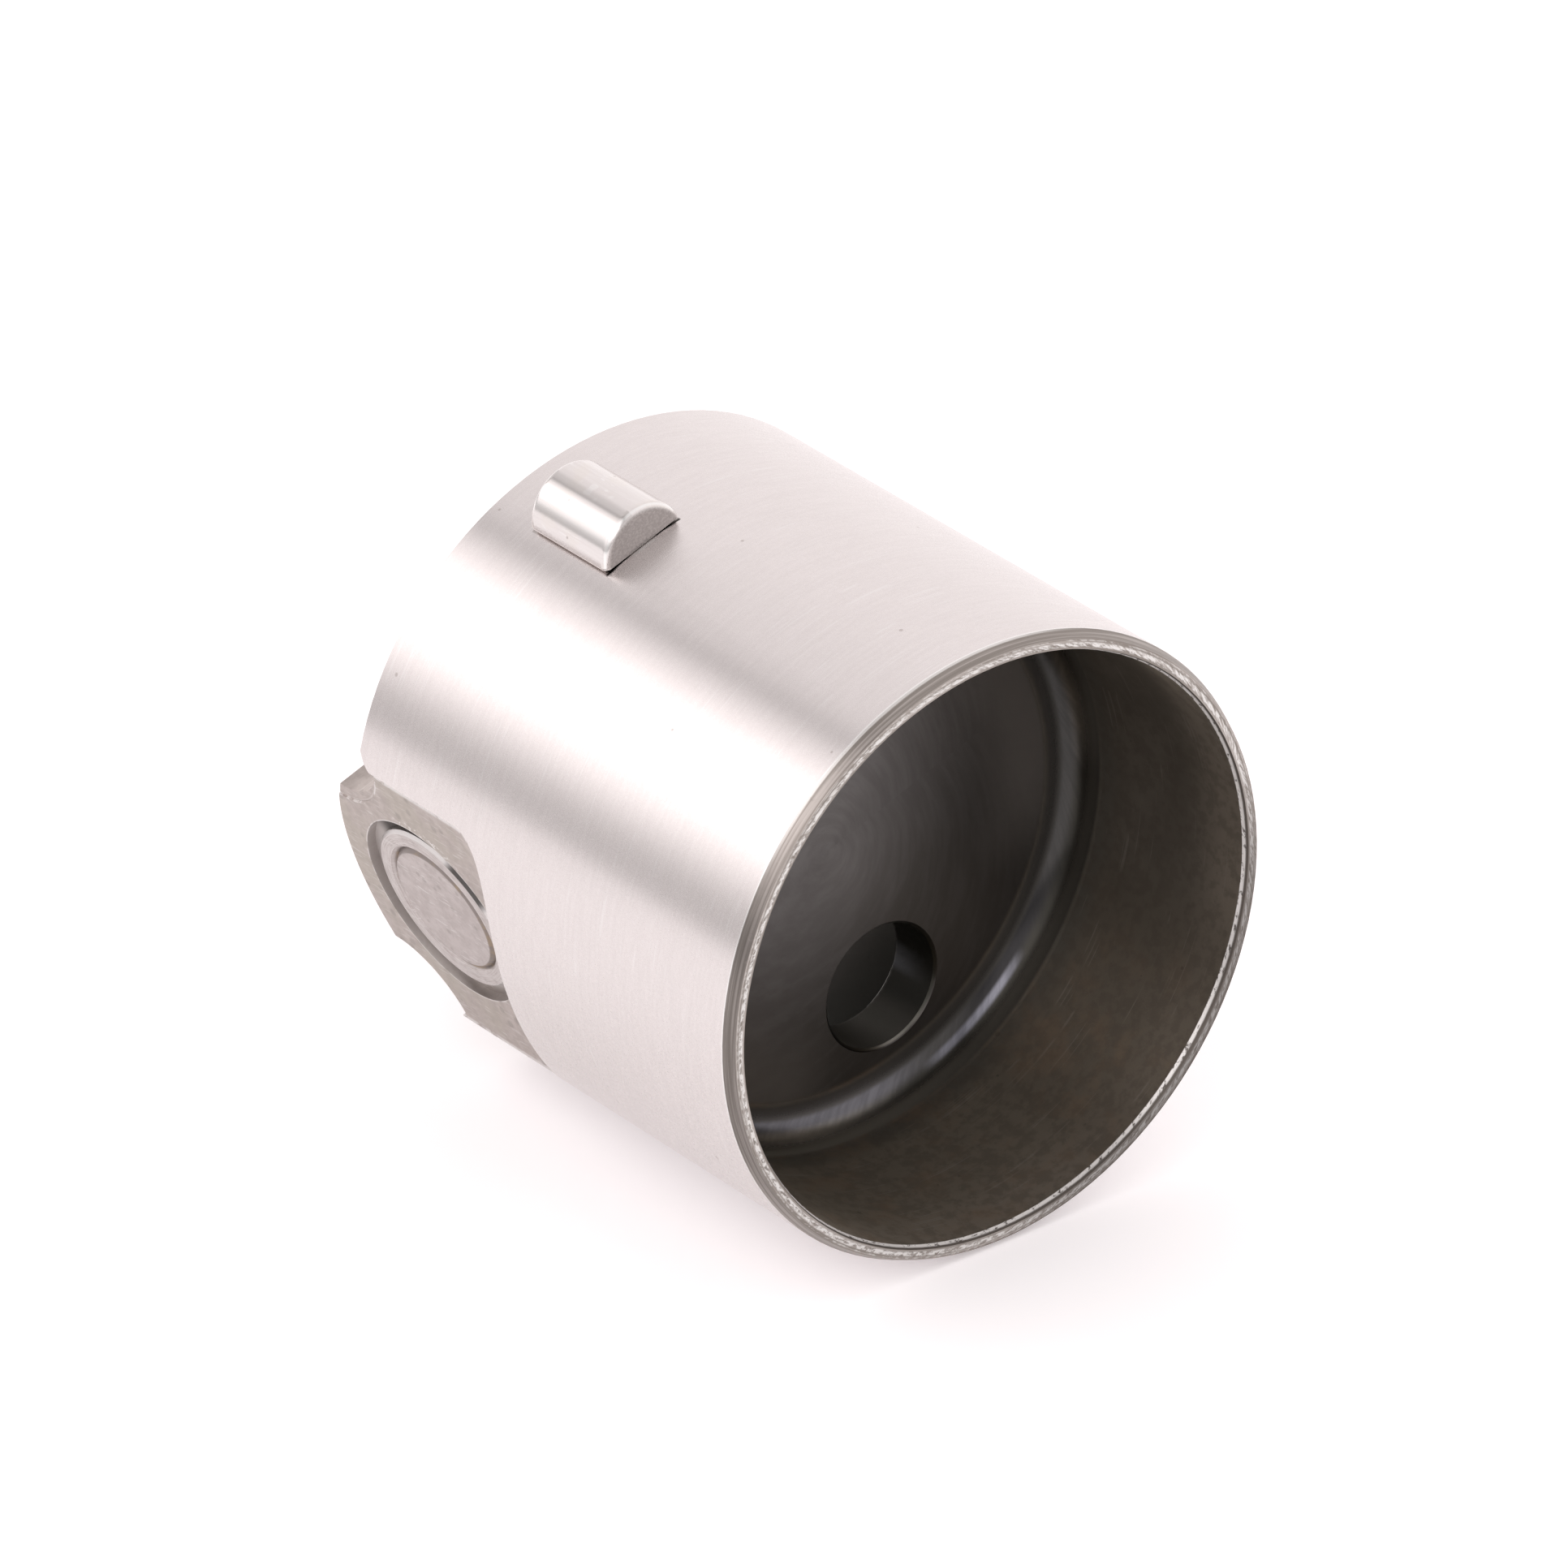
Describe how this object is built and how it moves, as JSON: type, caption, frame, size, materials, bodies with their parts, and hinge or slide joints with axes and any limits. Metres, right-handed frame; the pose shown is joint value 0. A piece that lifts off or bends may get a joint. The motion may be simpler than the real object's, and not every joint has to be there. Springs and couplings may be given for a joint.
{
  "type": "fuel pump tappet",
  "caption": "Steel roller tappet: a thin round bucket with a roller on needles between two ears, an anti-rotation key on its wall and an oil hole in its web.",
  "frame": {"origin": "on the bucket's axis, in the plane of the cup's rim", "axes": "+Z along the bucket's axis from the cup's rim towards the roller; X along the roller's axle, so the two ears' outer flats face +X and -X; +Y towards the anti-rotation key, and the oil hole is on the -Y side"},
  "size_m": [0.031, 0.033, 0.034],
  "materials": {
    "bucket_steel": "ground bright on the guide surface, matt grey tumbled on the ears, dull brownish inside the cup",
    "key_steel": "polished, with rounded edges",
    "axle_steel": "ground, with staked end faces",
    "roller_steel": "superfinished",
    "needle_steel": "polished"
  },
  "bodies": {
    "housing": {"tappet_body": "bucket_steel", "alignment_key": "key_steel", "axle_pin": "axle_steel"},
    "roller": {"roller": "roller_steel"},
    "needle_set": {"needle_01": "needle_steel", "needle_02": "needle_steel", "needle_03": "needle_steel", "needle_04": "needle_steel", "needle_05": "needle_steel", "needle_06": "needle_steel", "needle_07": "needle_steel", "needle_08": "needle_steel", "needle_09": "needle_steel", "needle_10": "needle_steel", "needle_11": "needle_steel", "needle_12": "needle_steel", "needle_13": "needle_steel", "needle_14": "needle_steel", "needle_15": "needle_steel", "needle_16": "needle_steel", "needle_17": "needle_steel"}
  },
  "joints": [
    {"name": "roller_spin", "type": "hinge", "parent": "housing", "child": "roller", "pos_m": [0, 0, 0.0252], "axis": [1, 0, 0], "continuous": true},
    {"name": "needle_orbit", "type": "hinge", "parent": "housing", "child": "needle_set", "pos_m": [0, 0, 0.0252], "axis": [1, 0, 0], "continuous": true}
  ],
  "couplings": [
    {"joint": "needle_orbit", "follows": "roller_spin", "ratio": 0.59269}
  ]
}
